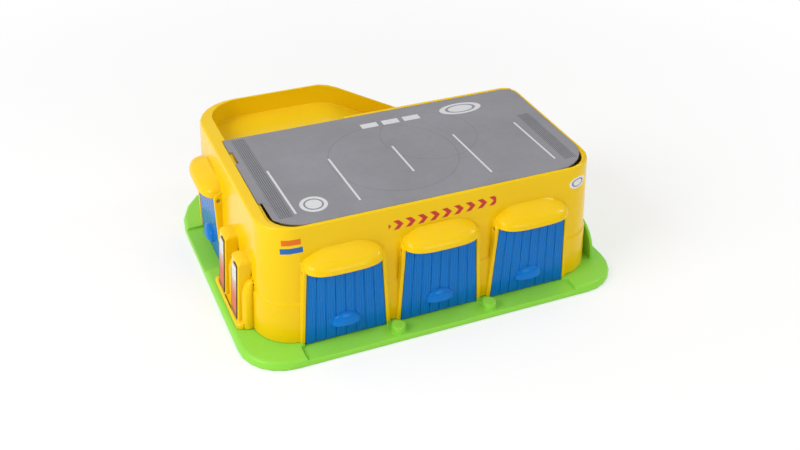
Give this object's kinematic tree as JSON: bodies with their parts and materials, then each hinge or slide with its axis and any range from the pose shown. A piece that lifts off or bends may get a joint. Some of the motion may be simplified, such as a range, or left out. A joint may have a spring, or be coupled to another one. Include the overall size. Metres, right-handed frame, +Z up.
{
  "type": "toy garage",
  "caption": "Toy parking garage with rounded shell on a base plate, hinged doors under hoods, a parking roof with a rim, a ramp behind it and a small pump island",
  "frame": {"origin": "centre of the base plate's outline, on the ground", "axes": "+X along the front towards the low end of the ramp, -Y out of the front with the three doors, +Z up"},
  "size_m": [0.36, 0.314, 0.1197],
  "materials": {
    "yellow_plastic": "glossy moulded plastic",
    "green_plastic": "satin moulded plastic",
    "blue_plastic": "glossy moulded plastic",
    "steel": "bright zinc-plated",
    "grey_card": "satin printed sheet",
    "printed_panel": "satin printed sticker"
  },
  "bodies": {
    "garage": {"base_plate": "green_plastic", "base_screw_1": "steel", "base_screw_2": "steel", "base_screw_3": "steel", "base_screw_4": "steel", "base_screw_5": "steel", "base_screw_6": "steel", "base_screw_7": "steel", "base_screw_8": "steel", "body_shell": "yellow_plastic", "hinge_pin_front_1": "steel", "hinge_pin_front_2": "steel", "hinge_pin_front_3": "steel", "hinge_pin_side": "steel", "parking_card": "grey_card", "pump_panel_1": "printed_panel", "pump_panel_2": "printed_panel"},
    "left_door": {"door_front_1": "blue_plastic"},
    "middle_door": {"door_front_2": "blue_plastic"},
    "right_door": {"door_front_3": "blue_plastic"},
    "end_door": {"door_side": "blue_plastic"}
  },
  "joints": [
    {"name": "left_door_hinge", "type": "hinge", "parent": "garage", "child": "left_door", "pos_m": [-0.089, -0.1335, 0.0785], "axis": [-1, 0, 0], "range_deg": [0, 75]},
    {"name": "middle_door_hinge", "type": "hinge", "parent": "garage", "child": "middle_door", "pos_m": [-0.0016, -0.1335, 0.0785], "axis": [-1, 0, 0], "range_deg": [0, 75]},
    {"name": "right_door_hinge", "type": "hinge", "parent": "garage", "child": "right_door", "pos_m": [0.0858, -0.1335, 0.0785], "axis": [-1, 0, 0], "range_deg": [0, 75]},
    {"name": "end_door_hinge", "type": "hinge", "parent": "garage", "child": "end_door", "pos_m": [-0.1597, 0.0355, 0.0785], "axis": [0, 1, 0], "range_deg": [0, 75]}
  ]
}
